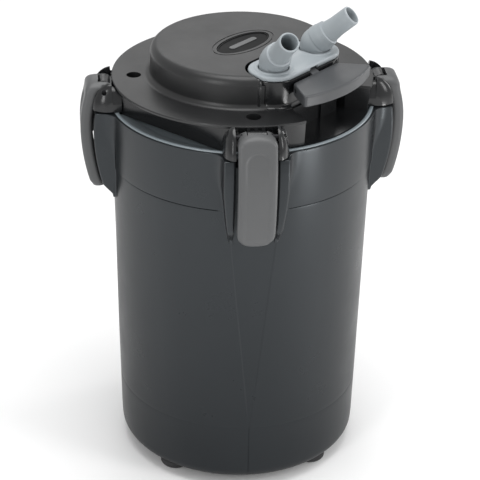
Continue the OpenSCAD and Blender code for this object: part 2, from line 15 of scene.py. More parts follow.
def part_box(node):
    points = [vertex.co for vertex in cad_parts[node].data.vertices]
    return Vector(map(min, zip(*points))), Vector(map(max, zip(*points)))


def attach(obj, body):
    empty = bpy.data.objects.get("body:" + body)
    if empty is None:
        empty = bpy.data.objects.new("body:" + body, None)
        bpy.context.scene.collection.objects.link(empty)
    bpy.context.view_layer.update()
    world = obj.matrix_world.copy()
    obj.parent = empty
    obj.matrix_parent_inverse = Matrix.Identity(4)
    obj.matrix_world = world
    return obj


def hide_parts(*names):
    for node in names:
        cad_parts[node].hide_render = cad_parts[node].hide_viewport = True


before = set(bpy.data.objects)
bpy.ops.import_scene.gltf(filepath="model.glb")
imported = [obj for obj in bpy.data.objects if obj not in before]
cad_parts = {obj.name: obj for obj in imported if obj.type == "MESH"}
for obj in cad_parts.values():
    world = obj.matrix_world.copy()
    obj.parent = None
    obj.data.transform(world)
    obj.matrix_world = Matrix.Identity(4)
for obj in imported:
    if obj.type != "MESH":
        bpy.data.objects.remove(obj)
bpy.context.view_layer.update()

MM = 0.001
QUARTERS = (45, 135, 225, 315)


# ---- Measures taken from the frame, in millimetres ----


def low(node):
    return np.array(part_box(node)[0]) / MM


def high(node):
    return np.array(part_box(node)[1]) / MM


FOOT_H = high("feet")[2]
RIM_Z = 309.5
RIM_R = 107.0
EAR_LOW_Z = RIM_Z + 1.2
PARTING_Z = 261.0
BODY_R = 104.8
BODY_FOOT_R = 99.3
BAND_R = BODY_R + 0.8
LID_Z = low("lid_base")[2]
LID_FLOOR_Z = LID_Z + 2.5
FLANGE_Z = 331.7
FLANGE_LOW_Z = FLANGE_Z - 2.5
FLANGE_R = 104.0
DOME_R = 73.3
DOME_Z = high("head_cover")[2]
PORT_X = 25.5
PORT_Y = -51.0
PLATE_Z = low("connector_plate")[2]
PLATE_R = high("connector_plate")[0] - PORT_X
PIVOT_R, PIVOT_Z = 110.5, 326.0
PIN_R = 2.0
LEVER_Y, LEVER_Z = -76.0, 346.583
LEVER_PIN_R = 1.75
LEVER_LOW_Z, LEVER_TOP_Z = 342.0, 351.5
LEVER_R = 103.0
LEVER_EDGE_Y = -71.9
LEVER_NOSE_R = 6.4
LEVER_HALF_IN, LEVER_HALF_OUT = 27.5, 42.0
BRACKET_X = 14.0
GEAR_R, GEAR_W, GEAR_TEETH = 15.0, 8.4, 20
CHEEK_IN = 16.0
SCREW_R = 86.4
CUP_R, WELL_R, CUP_Z = 7.4, 5.8, 321.0
LID_R = 101.5
GRIP_X = 85.0
NOTCH_Y = -70.5
GLAND_TURN = math.radians(22)


# ---- Mesh tools ----


def arc(cx, cy, r, a0, a1, n):
    """Points on an arc about (cx, cy) from angle a0 to a1, in degrees."""
    a = np.radians(np.linspace(a0, a1, n))
    return [(cx + r * math.cos(t), cy + r * math.sin(t)) for t in a]


def new_object(name, bm):
    """Makes an object from a bmesh that is in millimetres, with its normals outward."""
    bmesh.ops.remove_doubles(bm, verts=bm.verts, dist=1e-4)
    bmesh.ops.dissolve_degenerate(bm, dist=1e-5, edges=bm.edges)
    bmesh.ops.recalc_face_normals(bm, faces=bm.faces)
    bmesh.ops.scale(bm, vec=(MM, MM, MM), verts=bm.verts)
    mesh = bpy.data.meshes.new(name)
    bm.to_mesh(mesh)
    bm.free()
    obj = bpy.data.objects.new(name, mesh)
    bpy.context.scene.collection.objects.link(obj)
    return obj


def loft(name, rings, closed=False):
    """Skins rings of equal count. A closed loft joins the last ring to the first."""
    bm = bmesh.new()
    rows = [[bm.verts.new(p) for p in ring] for ring in rings]
    n = len(rows[0])
    last = len(rows) if closed else len(rows) - 1
    for i in range(last):
        a, b = rows[i], rows[(i + 1) % len(rows)]
        for j in range(n):
            k = (j + 1) % n
            bm.faces.new((a[j], a[k], b[k], b[j]))
    if not closed:
        bm.faces.new(rows[0][::-1])
        bm.faces.new(rows[-1])
    return new_object(name, bm)


def revolve(name, section, steps=144, centre=(0, 0)):
    """Turns a closed (radius, height) outline about the upright axis through centre."""
    rings = []
    for i in range(steps):
        a = 2 * math.pi * i / steps
        c, s = math.cos(a), math.sin(a)
        rings.append([(centre[0] + r * c, centre[1] + r * s, z) for r, z in section])
    return loft(name, rings, closed=True)


def prism(name, outline, z0, z1):
    return loft(name, [[(x, y, z0) for x, y in outline], [(x, y, z1) for x, y in outline]])


def side_prism(name, outline, y0, y1, angle):
    """Extrudes a (radius, height) outline across the plane of the clip at angle."""
    obj = loft(name, [[(x, y0, z) for x, z in outline], [(x, y1, z) for x, z in outline]])
    return turn(obj, angle)


def rod(name, start, end, r, n=32):
    """Round bar between two points."""
    start, end = Vector(start), Vector(end)
    frame_of_rod = (end - start).to_track_quat("Z", "Y").to_matrix()
    rings = []
    for p in (start, end):
        turns = [2 * math.pi * i / n for i in range(n)]
        rings.append([p + frame_of_rod @ Vector((r * math.cos(a), r * math.sin(a), 0)) for a in turns])
    return loft(name, rings)


def turn(obj, angle):
    obj.data.transform(Matrix.Rotation(math.radians(angle), 4, "Z"))
    return obj


def remove(obj):
    bpy.data.objects.remove(obj)


def apply_modifiers(obj):
    bpy.context.view_layer.update()
    result = obj.evaluated_get(bpy.context.evaluated_depsgraph_get())
    mesh = bpy.data.meshes.new_from_object(result)
    obj.modifiers.clear()
    obj.data = mesh
    return obj


def combine(obj, others, operation):
    """Adds the others to obj, or cuts them from it, and leaves one mesh."""
    for other in others:
        modifier = obj.modifiers.new("combine", "BOOLEAN")
        modifier.operation = operation
        modifier.solver = "EXACT"
        modifier.object = other
        apply_modifiers(obj)
        remove(other)
    return obj


def add(obj, *others):
    return combine(obj, others, "UNION")


def cut(obj, *others):
    return combine(obj, others, "DIFFERENCE")


def round_edges(obj, width, segments=2, angle=28):
    modifier = obj.modifiers.new("round", "BEVEL")
    modifier.width = width * MM
    modifier.segments = segments
    modifier.limit_method = "ANGLE"
    modifier.angle_limit = math.radians(angle)
    modifier.use_clamp_overlap = True
    modifier.miter_outer = "MITER_ARC"
    return apply_modifiers(obj)


def smooth(obj, angle=32):
    """Smooth shading with creases where faces meet at more than angle."""
    for polygon in obj.data.polygons:
        polygon.use_smooth = True
    obj.data.set_sharp_from_angle(angle=math.radians(angle))
    modifier = obj.modifiers.new("normals", "WEIGHTED_NORMAL")
    modifier.keep_sharp = True
    return obj


# ---- Shapes given by a distance field ----


def smooth_max(a, b, k):
    h = np.clip(0.5 - 0.5 * (b - a) / k, 0, 1)
    return b + (a - b) * h + k * h * (1 - h)


def smooth_min(a, b, k):
    return -smooth_max(-a, -b, k)


def polygon_field(x, y, outline):
    """Distance to a closed outline, negative inside."""
    best = np.full(np.shape(x), 1e9)
    inside = np.zeros(np.shape(x), bool)
    count = len(outline)
    for i in range(count):
        (ax, ay), (bx, by) = outline[i], outline[(i + 1) % count]
        ex, ey = bx - ax, by - ay
        wx, wy = x - ax, y - ay
        t = np.clip((wx * ex + wy * ey) / (ex * ex + ey * ey), 0, 1)
        best = np.minimum(best, (wx - t * ex) ** 2 + (wy - t * ey) ** 2)
        if ey:
            crosses = (ay > y) != (by > y)
            inside ^= crosses & (x < ax + ex * (y - ay) / ey)
    return np.where(inside, -1, 1) * np.sqrt(best)


def box_field(x, y, z, low_corner, high_corner):
    """Distance to an upright box, near enough for rounding."""
    field = np.maximum(low_corner[0] - x, x - high_corner[0])
    field = np.maximum(field, np.maximum(low_corner[1] - y, y - high_corner[1]))
    return np.maximum(field, np.maximum(low_corner[2] - z, z - high_corner[2]))


def grid_edges():
    """The 12 edges of a grid cell, as pairs of its corners."""
    corners = [(i, j, k) for i in (0, 1) for j in (0, 1) for k in (0, 1)]
    pairs = [(a, b) for a in corners for b in corners if a < b]
    return [(a, b) for a, b in pairs if sum(np.abs(np.subtract(a, b))) == 1]


def implicit(name, field, low_corner, high_corner, step):
    """Meshes the surface where field(x, y, z) is 0: one point in each grid cell it crosses."""
    axes = [np.arange(low_corner[i], high_corner[i] + step, step) for i in range(3)]
    gx, gy, gz = np.meshgrid(*axes, indexing="ij")
    value = field(gx, gy, gz)
    grid = np.stack([gx, gy, gz], -1)
    n = [len(a) - 1 for a in axes]

    def at(values, c):
        return values[c[0]:c[0] + n[0], c[1]:c[1] + n[1], c[2]:c[2] + n[2]]

    total = np.zeros(n + [3])
    hits = np.zeros(n)
    for c0, c1 in grid_edges():
        a, b = at(value, c0), at(value, c1)
        crossed = (a < 0) != (b < 0)
        t = np.where(crossed, a / np.where(crossed, a - b, 1), 0)[..., None]
        total += np.where(crossed[..., None], at(grid, c0) * (1 - t) + at(grid, c1) * t, 0)
        hits += crossed
    active = hits > 0
    points = total[active] / hits[active][:, None]
    delta = 0.02
    for _ in range(3):
        here = field(*points.T)
        slope = []
        for axis in range(3):
            offset = np.zeros(3)
            offset[axis] = delta
            slope.append((field(*(points + offset).T) - field(*(points - offset).T)) / (2 * delta))
        slope = np.stack(slope, -1)
        size = np.maximum((slope ** 2).sum(-1), 0.05)
        move = -(here / size)[:, None] * slope
        points = points + np.clip(move, -step / 3, step / 3)
    index = np.full(n, -1)
    index[active] = np.arange(len(points))
    faces = []
    for axis in range(3):
        u, v = (axis + 1) % 3, (axis + 2) % 3
        first = [slice(None)] * 3
        second = [slice(None)] * 3
        first[axis], second[axis] = slice(0, -1), slice(1, None)
        a, b = value[tuple(first)] < 0, value[tuple(second)] < 0
        i, j, k = np.nonzero(a != b)
        cell = np.stack([i, j, k], -1)
        inner = (cell[:, u] > 0) & (cell[:, v] > 0) & (cell[:, u] < n[u]) & (cell[:, v] < n[v])
        cell = cell[inner]
        flip = a[tuple(cell.T)]
        corners = []
        for du, dv in ((-1, -1), (0, -1), (0, 0), (-1, 0)):
            c = cell.copy()
            c[:, u] += du
            c[:, v] += dv
            corners.append(index[tuple(c.T)])
        quad = np.stack(corners, -1)
        quad[~flip] = quad[~flip][:, ::-1]
        faces.append(quad)
    bm = bmesh.new()
    corners = [bm.verts.new(p) for p in points]
    for face in np.concatenate(faces).tolist():
        bm.faces.new([corners[i] for i in face])
    return new_object(name, bm)


# ---- Outlines that several pieces share ----


def body_r(z):
    """Outer radius of the canister at height z."""
    if z < PARTING_Z:
        return BODY_FOOT_R + (BODY_R - BODY_FOOT_R) * (z - FOOT_H) / (PARTING_Z - FOOT_H)
    return BAND_R + (RIM_R - BAND_R) * (z - PARTING_Z) / (RIM_Z - PARTING_Z)


def clip_face(z):
    """Distance of a clip's outer face from the middle at height z."""
    return 129.7 - np.where(z > 293, 0.0058, 0.0029) * (z - 293) ** 2


def stadium(r, n=24):
    """Outline round both ports."""
    right = arc(PORT_X, PORT_Y, r, -90, 90, n)
    left = arc(-PORT_X, PORT_Y, r, 90, 270, n)
    return right + left


def ellipse(rx, ry, n=72):
    turns = [2 * math.pi * i / n for i in range(n)]
    return [(rx * math.cos(t), ry * math.sin(t)) for t in turns]


def gear_outline(r, teeth, phase):
    """The gear's straight-sided teeth, the same as in the CAD model."""
    pitch = 360 / teeth
    points = []
    for i in range(teeth):
        for share, reach in ((-0.24, -1.7), (-0.1, 1.1), (0.1, 1.1), (0.24, -1.7)):
            a = math.radians(phase + (i + share) * pitch)
            points.append(((r + reach) * math.cos(a), (r + reach) * math.sin(a)))
    return points


# ---- Camera, lights and floor ----


def add_camera():
    """The viewing angle: from the front left and 28 degrees above, with a slight roll."""
    azimuth, elevation, roll = math.radians(-51), math.radians(28.06), math.radians(1.016)
    distance, target = 1.5211, Vector((0, 0, 0.1806))
    back = Vector((
        math.sin(azimuth) * math.cos(elevation), -math.cos(azimuth) * math.cos(elevation),
        math.sin(elevation)
    ))
    right = Vector((math.cos(azimuth), math.sin(azimuth), 0))
    up = back.cross(right)
    rolled_right = right * math.cos(roll) + up * math.sin(roll)
    rolled_up = up * math.cos(roll) - right * math.sin(roll)
    data = bpy.data.cameras.new("camera")
    data.sensor_width = 36
    data.lens = 136.85
    data.clip_end = 20
    camera = bpy.data.objects.new("camera", data)
    place = Matrix((rolled_right, rolled_up, back)).transposed().to_4x4()
    place.translation = target + right * 0.000376 + back * distance
    camera.matrix_world = place
    bpy.context.scene.collection.objects.link(camera)
    bpy.context.scene.camera = camera


def area_light(name, place, target, size, power, colour=(1, 1, 1)):
    data = bpy.data.lights.new(name, "AREA")
    data.shape = "RECTANGLE"
    data.size, data.size_y = size
    data.energy = power
    data.color = colour
    light = bpy.data.objects.new(name, data)
    light.location = place
    light.rotation_euler = (Vector(target) - Vector(place)).to_track_quat("-Z", "Y").to_euler()
    bpy.context.scene.collection.objects.link(light)


def add_stage():
    bm = bmesh.new()
    bmesh.ops.create_grid(bm, x_segments=8, y_segments=8, size=3000)
    floor = new_object("floor", bm)
    floor.data.materials.append(floor_material())
    world = bpy.data.worlds.new("studio")
    world.use_nodes = True
    world.node_tree.nodes["Background"].inputs["Color"].default_value = (1, 1, 1, 1)
    world.node_tree.nodes["Background"].inputs["Strength"].default_value = 0.62
    bpy.context.scene.world = world
    middle = (0, 0, 0.2)
    area_light("key", (0.35, -1.7, 1.1), middle, (0.5, 1.2), 10)
    area_light("fill", (-1.6, -0.2, 0.8), middle, (0.35, 1.2), 7)
    area_light("top", (0.0, 0.0, 2.2), middle, (1.4, 1.4), 24)
    area_light("back", (1.2, 1.3, 1.5), middle, (1.0, 0.8), 3)
    area_light("side", (1.5, -0.6, 0.75), middle, (0.4, 0.9), 5)
    area_light("low_strip", (0.02, -0.50, 0.135), (-0.03, -0.08, 0.32), (0.12, 0.03), 0.28)
    bpy.context.scene.view_settings.view_transform = "Standard"


# ---- Materials ----


class Nodes:
    """A material's node tree, with short calls to add and join nodes."""

    def __init__(self, name):
        self.material = bpy.data.materials.new(name)
        self.material.use_nodes = True
        self.tree = self.material.node_tree
        self.shader = self.tree.nodes["Principled BSDF"]
        self.place = self.add("ShaderNodeTexCoord").outputs["Object"]

    def add(self, kind, links=None, **values):
        node = self.tree.nodes.new(kind)
        for key, value in values.items():
            if key in node.inputs:
                node.inputs[key].default_value = value
            else:
                setattr(node, key, value)
        for key, source in (links or {}).items():
            self.tree.links.new(source, node.inputs[key])
        return node

    def noise(self, scale, detail=3, roughness=0.5, stretch=(1, 1, 1)):
        vector = self.add("ShaderNodeMapping", {"Vector": self.place}, Scale=stretch).outputs[0]
        node = self.add(
            "ShaderNodeTexNoise", {"Vector": vector}, Scale=scale, Detail=detail, Roughness=roughness
        )
        return node.outputs["Fac"]

    def ramp(self, source, stops):
        """Colour ramp. A stop is a position and a colour or a grey."""
        node = self.add("ShaderNodeValToRGB", {"Fac": source})
        elements = node.color_ramp.elements
        while len(elements) < len(stops):
            elements.new(0.5)
        for element, (position, colour) in zip(elements, stops):
            element.position = position
            rgb = colour if isinstance(colour, tuple) else (colour, colour, colour)
            element.color = (*rgb, 1)
        return node.outputs["Color"]

    def mix(self, share, a, b):
        node = self.add("ShaderNodeMix", {0: share}, data_type="RGBA")
        for socket, value in ((6, a), (7, b)):
            if isinstance(value, tuple):
                node.inputs[socket].default_value = (*value, 1)
            else:
                self.tree.links.new(value, node.inputs[socket])
        return node.outputs[2]

    def set(self, key, source):
        if isinstance(source, (int, float)):
            self.shader.inputs[key].default_value = source
        else:
            self.tree.links.new(source, self.shader.inputs[key])

    def bump(self, height, strength, distance_mm):
        distance = distance_mm * MM
        node = self.add("ShaderNodeBump", {"Height": height}, Strength=strength, Distance=distance)
        self.set("Normal", node.outputs["Normal"])


def shade(colour, factor):
    return tuple(min(1, c * factor) for c in colour)


def plastic(
    name, colour, roughness, grain=0.25, wear=1.35, gloss=0.5, foot_shade_gloss=None, rim_shade_gloss=1.0,
    tint=(1, 1, 1)
):
    """Moulded plastic: fine spark-eroded grain, faint flow mottling and paler worn edges.

    gloss is the specular level and tint the colour of the reflection. With a foot level given,
    the level is lowered as painted shade: it falls to that level at the foot and to a given share
    where the surface turns away, so the surface looks darker towards the bottom and at its sides.
    """
    n = Nodes(name)
    mottle = n.noise(9, 4, 0.6)
    base = n.mix(n.ramp(mottle, [(0.3, 0.0), (0.7, 1.0)]), shade(colour, 0.92), shade(colour, 1.08))
    edge = n.add("ShaderNodeNewGeometry").outputs["Pointiness"]
    scuff = n.noise(160, 5, 0.7)
    sharp = n.ramp(edge, [(0.52, 0.0), (0.6, 1.0)])
    worn = n.add("ShaderNodeMath", {0: sharp, 1: scuff}, operation="MULTIPLY")
    n.set("Base Color", n.mix(worn.outputs[0], base, shade(colour, wear)))
    smudge = n.noise(26, 5, 0.65)
    n.set("Roughness", n.ramp(smudge, [(0.3, roughness * 0.88), (0.75, min(1, roughness * 1.18))]))
    n.bump(n.noise(1400, 2, 0.6), grain, 0.03)
    n.set("Specular IOR Level", gloss)
    # Painted shade: the specular level falls towards the foot, so the lower body reflects less and
    # looks darker there.
    if foot_shade_gloss is not None:
        up = n.add("ShaderNodeSeparateXYZ", {0: n.place}).outputs["Z"]
        foot_shade = n.ramp(up, [(0.04, foot_shade_gloss), (0.25, gloss)])
        # Painted shade: the specular level also falls where the surface turns away from the view,
        # which darkens the sides.
        facing = n.add("ShaderNodeLayerWeight", Blend=0.5).outputs["Facing"]
        rim_shade = n.ramp(facing, [(0.35, 1.0), (0.85, rim_shade_gloss)])
        shaded_level = n.add("ShaderNodeMath", {0: foot_shade, 1: rim_shade}, operation="MULTIPLY")
        n.set("Specular IOR Level", shaded_level.outputs[0])
    n.shader.inputs["Specular Tint"].default_value = (*tint, 1)
    return n.material


def rubber(name, colour=(0.018, 0.018, 0.019)):
    n = Nodes(name)
    dust = n.ramp(n.noise(40, 5, 0.7), [(0.5, 0.0), (0.85, 0.6)])
    n.set("Base Color", n.mix(dust, colour, shade(colour, 3)))
    n.set("Roughness", n.ramp(n.noise(70, 3), [(0.3, 0.62), (0.8, 0.82)]))
    n.bump(n.noise(900, 3, 0.7), 0.35, 0.04)
    return n.material


def metal(name, colour, roughness, stretch=(1, 1, 40)):
    """Machined metal with fine turning marks."""
    n = Nodes(name)
    marks = n.noise(240, 4, 0.7, stretch)
    n.set("Base Color", n.mix(marks, shade(colour, 0.85), shade(colour, 1.1)))
    n.set("Metallic", 1.0)
    n.set("Roughness", n.ramp(marks, [(0.3, roughness * 0.8), (0.8, roughness * 1.3)]))
    n.bump(marks, 0.2, 0.01)
    return n.material


def laminations(name):
    """Stacked core sheets, seen as fine lines along Y."""
    n = Nodes(name)
    wave = n.add(
        "ShaderNodeTexWave", {"Vector": n.place}, Scale=320, Distortion=0.4, bands_direction="Y"
    )
    n.set("Base Color", n.ramp(wave.outputs["Fac"], [(0.1, 0.16), (0.5, 0.42)]))
    n.set("Metallic", 0.9)
    n.set("Roughness", n.ramp(n.noise(120, 4), [(0.3, 0.35), (0.8, 0.55)]))
    n.bump(wave.outputs["Fac"], 0.5, 0.08)
    return n.material


def winding(name):
    """Enamelled copper wire wound round the core, seen as fine turns along X."""
    n = Nodes(name)
    wave = n.add(
        "ShaderNodeTexWave", {"Vector": n.place}, Scale=420, Distortion=0.6, bands_direction="X"
    )
    copper = n.ramp(wave.outputs["Fac"], [(0.0, (0.16, 0.05, 0.02)), (0.6, (0.62, 0.26, 0.10))])
    n.set("Base Color", copper)
    n.set("Metallic", 0.85)
    n.set("Roughness", n.ramp(n.noise(90, 4), [(0.3, 0.24), (0.8, 0.42)]))
    n.bump(wave.outputs["Fac"], 0.8, 0.15)
    return n.material


def ceramic(name, colour, roughness, pore_scale, pore_depth):
    n = Nodes(name)
    cells = n.add("ShaderNodeTexVoronoi", {"Vector": n.place}, Scale=pore_scale).outputs["Distance"]
    pores = n.ramp(cells, [(0.05, 0.0), (0.35, 1.0)])
    # Painted shade: the pores are darkened as if in shadow; the bump sinks them too.
    n.set("Base Color", n.mix(pores, shade(colour, 0.62), colour))
    rough = [(0.3, roughness * 0.85), (0.8, min(1, roughness * 1.15))]
    n.set("Roughness", n.ramp(n.noise(60, 4), rough))
    n.bump(pores, 0.6, pore_depth)
    return n.material


def foam(name, colour, cell_scale, depth):
    """Open-cell filter foam or floss."""
    n = Nodes(name)
    cells = n.add(
        "ShaderNodeTexVoronoi", {"Vector": n.place}, Scale=cell_scale, feature="DISTANCE_TO_EDGE"
    )
    walls = n.ramp(cells.outputs["Distance"], [(0.02, 1.0), (0.3, 0.0)])
    # Painted shade: the hollows of the cells, away from the walls, are darkened as if in shadow; the
    # bump sinks them too.
    n.set("Base Color", n.mix(walls, shade(colour, 0.35), colour))
    n.set("Roughness", n.ramp(n.noise(50, 3), [(0.3, 0.85), (0.8, 0.97)]))
    n.shader.inputs["Sheen Weight"].default_value = 0.15
    n.bump(walls, 1.0, depth)
    return n.material


def floor_material():
    n = Nodes("floor_paper")
    n.set("Base Color", n.ramp(n.noise(3, 4), [(0.3, 0.91), (0.8, 0.94)]))
    n.set("Roughness", n.ramp(n.noise(30, 3), [(0.3, 0.85), (0.8, 0.95)]))
    n.bump(n.noise(500, 3), 0.1, 0.05)
    return n.material


def make_materials():
    return {
        # The canister's lowered specular level at the foot and at its sides is painted shade.
        "canister_plastic": plastic(
            "canister_plastic", (0.012, 0.0135, 0.015), 0.30, grain=0.08, wear=1.0,
            gloss=0.50, foot_shade_gloss=0.26, rim_shade_gloss=0.25, tint=(0.88, 0.95, 1.0)
        ),
        "head_plastic": plastic("head_plastic", (0.012, 0.0124, 0.013), 0.36, grain=0.14),
        "gloss_black": plastic("gloss_black", (0.0085, 0.009, 0.0098), 0.20, grain=0.04),
        "badge_plastic": plastic(
            "badge_plastic", (0.006, 0.0062, 0.0065), 0.40, grain=0.3, gloss=0.06
        ),
        "clip_plastic": plastic("clip_plastic", (0.082, 0.084, 0.086), 0.42, grain=0.3),
        "lever_plastic": plastic("lever_plastic", (0.052, 0.0545, 0.058), 0.36, grain=0.3),
        "port_plastic": plastic("port_plastic", (0.305, 0.336, 0.355), 0.34, grain=0.12, wear=1.1),
        "ring_plastic": plastic("ring_plastic", (0.235, 0.272, 0.294), 0.24, grain=0.08, wear=1.2),
        "basket_plastic": plastic("basket_plastic", (0.22, 0.24, 0.25), 0.45),
        "impeller_plastic": plastic("impeller_plastic", (0.72, 0.72, 0.69), 0.38, wear=1.1),
        "rubber": rubber("rubber"),
        "steel": metal("steel", (0.62, 0.63, 0.65), 0.24),
        "dark_steel": metal("dark_steel", (0.03, 0.03, 0.032), 0.5),
        "core_steel": laminations("core_steel"),
        "coil_copper": winding("coil_copper"),
        "magnet": metal("magnet", (0.10, 0.10, 0.11), 0.55, (1, 1, 3)),
        "shaft_ceramic": ceramic("shaft_ceramic", (0.84, 0.83, 0.79), 0.22, 900, 0.01),
        "media_ceramic": ceramic("media_ceramic", (0.72, 0.62, 0.50), 0.85, 130, 1.2),
        "foam": foam("foam", (0.05, 0.20, 0.42), 420, 0.9),
        "filter_floss": foam("filter_floss", (0.82, 0.84, 0.83), 700, 0.6),
    }


# ---- Canister ----

CHEEK_Z = 233.0
CHEEK_OUT = 25.0
CHEEK_FLARE = 13.0
V_TIP_Z = 62.0
V_STEP = 0.6
WALL_POINTS = 18


def cheek_r(z):
    """Distance of a cheek's outer face from the middle at height z."""
    return min(float(clip_face(z)) - 10.3, 100.5 + (z - 231) * 0.85)


def settle(points, r):
    """Keeps points from sinking inside radius r."""
    kept = []
    for x, y in points:
        d = math.hypot(x, y)
        kept.append((x * r / d, y * r / d) if d < r else (x, y))
    return kept


def cheek_points(z, edge):
    """Half of a clip's surroundings, from the round wall to the channel floor, +Y side.

    It runs along the hollow flare, the cheek's side, its outer face and its inner side.
    """
    r = body_r(z)
    face = cheek_r(z) - edge
    share = min(1, max(0, (z - CHEEK_Z) / 50))
    out = 18.0 + (CHEEK_OUT - 18.0) * share ** 0.55 - edge
    inner = CHEEK_IN + edge
    fold = min(1, max(0, (z - 268) / 36))
    flare = 1.6 + (CHEEK_FLARE - 1.6) * fold * fold * (3 - 2 * fold)
    x = math.sqrt((r + flare) ** 2 - (out + flare) ** 2)
    turn_in = math.degrees(math.atan2(out + flare, x))
    soft = min(1.8, (out - inner) / 2.5)
    side = max(x, min(face - soft, x + 40))
    points = arc(x, out + flare, flare, -180 + turn_in, -90, 7)
    points += arc(side, out - soft, soft, 90, 0, 5)
    points += [(side + soft, (out + inner) / 2)]
    points += arc(side, inner + soft, soft, 0, -90, 5)
    points += [((side + r) / 2, inner), (min(side, r), inner)]
    return settle(points, r)


def crease_points(z):
    """The same points below the cheeks: a small step along the edge of the V-shaped panel."""
    r = body_r(z)
    share = max(0, (z - V_TIP_Z) / (CHEEK_Z - V_TIP_Z))
    middle = 0.6 + 17.2 * share
    depth = V_STEP * min(1, share * 8)
    count = len(cheek_points(270, 0))
    points = []
    for i in range(count):
        t = i / (count - 1)
        a = (middle + 1.6 * (0.5 - t)) / r
        rise = t * t * (3 - 2 * t)
        points.append(((r - depth * rise) * math.cos(a), (r - depth * rise) * math.sin(a)))
    return points


def canister_ring(z, inset=0.0, shelf=0.0, edge=0.0, radius=None):
    """One level of the canister's outside. inset is the parting groove's depth, shelf the
    reach of the ledge that the clips hook under and edge the rounding at the rim."""
    r = (radius or body_r(z)) - edge
    if radius is not None:
        half = [(p[0] * radius / body_r(z), p[1] * radius / body_r(z)) for p in crease_points(z)]
    elif z > CHEEK_Z:
        half = cheek_points(z, edge)
    else:
        half = crease_points(z)
    channel = math.atan2(half[-1][1], half[-1][0])
    floor_r = math.hypot(*half[-1])
    ends = math.atan2(half[0][1], half[0][0])
    floor = []
    for t in np.linspace(1, -1, 9):
        reach = shelf / math.cos(channel * t) if shelf and abs(t) < 0.99 else floor_r
        floor.append((reach * math.cos(channel * t), reach * math.sin(channel * t)))
    wall = []
    for a in np.linspace(math.pi / 4, ends, WALL_POINTS, endpoint=False):
        share = min(1, (a - ends) / 0.09)
        d = r - inset * share
        wall.append((d * math.cos(a), d * math.sin(a)))
    down = wall + half + floor[1:-1]
    mirrored = [(x, -y) for x, y in reversed(wall[1:] + half)]
    sector = down + mirrored
    ring = []
    for quarter in reversed(QUARTERS):
        c, s = math.cos(math.radians(quarter)), math.sin(math.radians(quarter))
        ring += [(c * x - s * y, s * x + c * y, z) for x, y in sector]
    return ring


def canister_levels():
    """Heights of the outside's rings, with the grooves and the ledge."""
    corner = 10
    rings = []
    for a in np.linspace(-90, 0, 9)[1:]:
        r = BODY_FOOT_R - corner + corner * math.cos(math.radians(a))
        z = FOOT_H + corner + corner * math.sin(math.radians(a))
        rings.append(canister_ring(z, radius=r))
    for z in list(range(24, 57, 8)):
        rings.append(canister_ring(z))
    for z in (59.2, 59.7, 60.3, 60.8):
        rings.append(canister_ring(z, inset=0.0 if z in (59.2, 60.8) else 0.22))
    for z in list(range(64, 232, 8)):
        rings.append(canister_ring(z))
    for z in (CHEEK_Z, 233.5, 235, 237, 240, 243, 246, 250, 254, 257, 259.6):
        rings.append(canister_ring(z))
    for z, inset in ((260.3, 0.1), (260.6, 0.9), (261.1, 0.9), (261.4, 0.1)):
        rings.append(canister_ring(z, inset=inset))
    for z in (264, 268, 273, 278, 283, 288, 293, 297):
        rings.append(canister_ring(z))
    rings.append(canister_ring(299.9))
    rings.append(canister_ring(300, shelf=110.2))
    rings.append(canister_ring(305.6, shelf=110.2))
    rings.append(canister_ring(306.1, shelf=109.7))
    rings.append(canister_ring(306.2))
    for a in np.linspace(0, 90, 4):
        rise = 0.7 * math.sin(math.radians(a))
        rings.append(canister_ring(RIM_Z - 0.7 + rise, edge=0.7 - 0.7 * math.cos(math.radians(a))))
    return rings


def canister_shell():
    rings = canister_levels()
    bm = bmesh.new()
    rows = [[bm.verts.new(p) for p in ring] for ring in rings]
    n = len(rows[0])
    for a, b in zip(rows, rows[1:]):
        for j in range(n):
            k = (j + 1) % n
            bm.faces.new((a[j], a[k], b[k], b[j]))
    bm.faces.new(rows[0])
    wall = 3
    section = [
        (105.4, RIM_Z), (105.4, 304), (99, 304), (99, 298), (RIM_R - wall - 0.6, 293),
        (BODY_R - wall, PARTING_Z), (BODY_FOOT_R - wall, 18.5), (BODY_FOOT_R - wall - 6, 11.5)
    ]
    steps = 120
    inner = []
    for r, z in section:
        turns = [2 * math.pi * i / steps for i in range(steps)]
        inner.append([bm.verts.new((r * math.cos(a), r * math.sin(a), z)) for a in turns])
    for a, b in zip(inner, inner[1:]):
        for j in range(steps):
            k = (j + 1) % steps
            bm.faces.new((a[j], a[k], b[k], b[j]))
    bm.faces.new(inner[-1])
    bm.verts.ensure_lookup_table()
    rim = [bm.edges.get((rows[-1][j], rows[-1][(j + 1) % n])) for j in range(n)]
    lip = [bm.edges.get((inner[0][j], inner[0][(j + 1) % steps])) for j in range(steps)]
    bmesh.ops.triangle_fill(bm, use_beauty=True, edges=rim + lip)
    return smooth(new_object("canister_shell", bm), 24)


# ---- Seal and head ----


def seal_ring():
    section = [(80, 305.2), (80.4, 304.6)]
    section += [(99.5, 304.6), (99.5, 307.6), (103.4, 307.6), (103.4, 304.4), (105.2, 304.4)]
    section += arc(104.2, 309.4, 1.0, 0, 90, 5) + arc(103.0, 309.4, 1.0, 90, 180, 5)
    section += arc(101.3, 308.85, 0.7, 0, -90, 4) + [(99.2, 308.12)]
    section += [(90.5, 306.2), (89.0, 305.9), (80.6, 305.8)]
    return smooth(revolve("seal_ring", section, 160), 30)


def lid_outline(r, x):
    """Round outline with three flat finger-grip sides."""
    points = []
    half = math.degrees(math.acos(x / r))
    points += arc(0, 0, r, -90, -half, 22)
    points += arc(0, 0, r, half, 90 - half, 14)
    points += arc(0, 0, r, 90 + half, 180 - half, 14)
    points += arc(0, 0, r, 180 + half, 270, 22)
    return points[:-1]


def notch_outline(grow=0.0):
    return [
        (-29 - grow, NOTCH_Y + grow), (33 + grow, NOTCH_Y + grow), (47 + grow, -98),
        (47 + grow, -120), (-43 - grow, -120), (-43 - grow, -100.5)
    ]


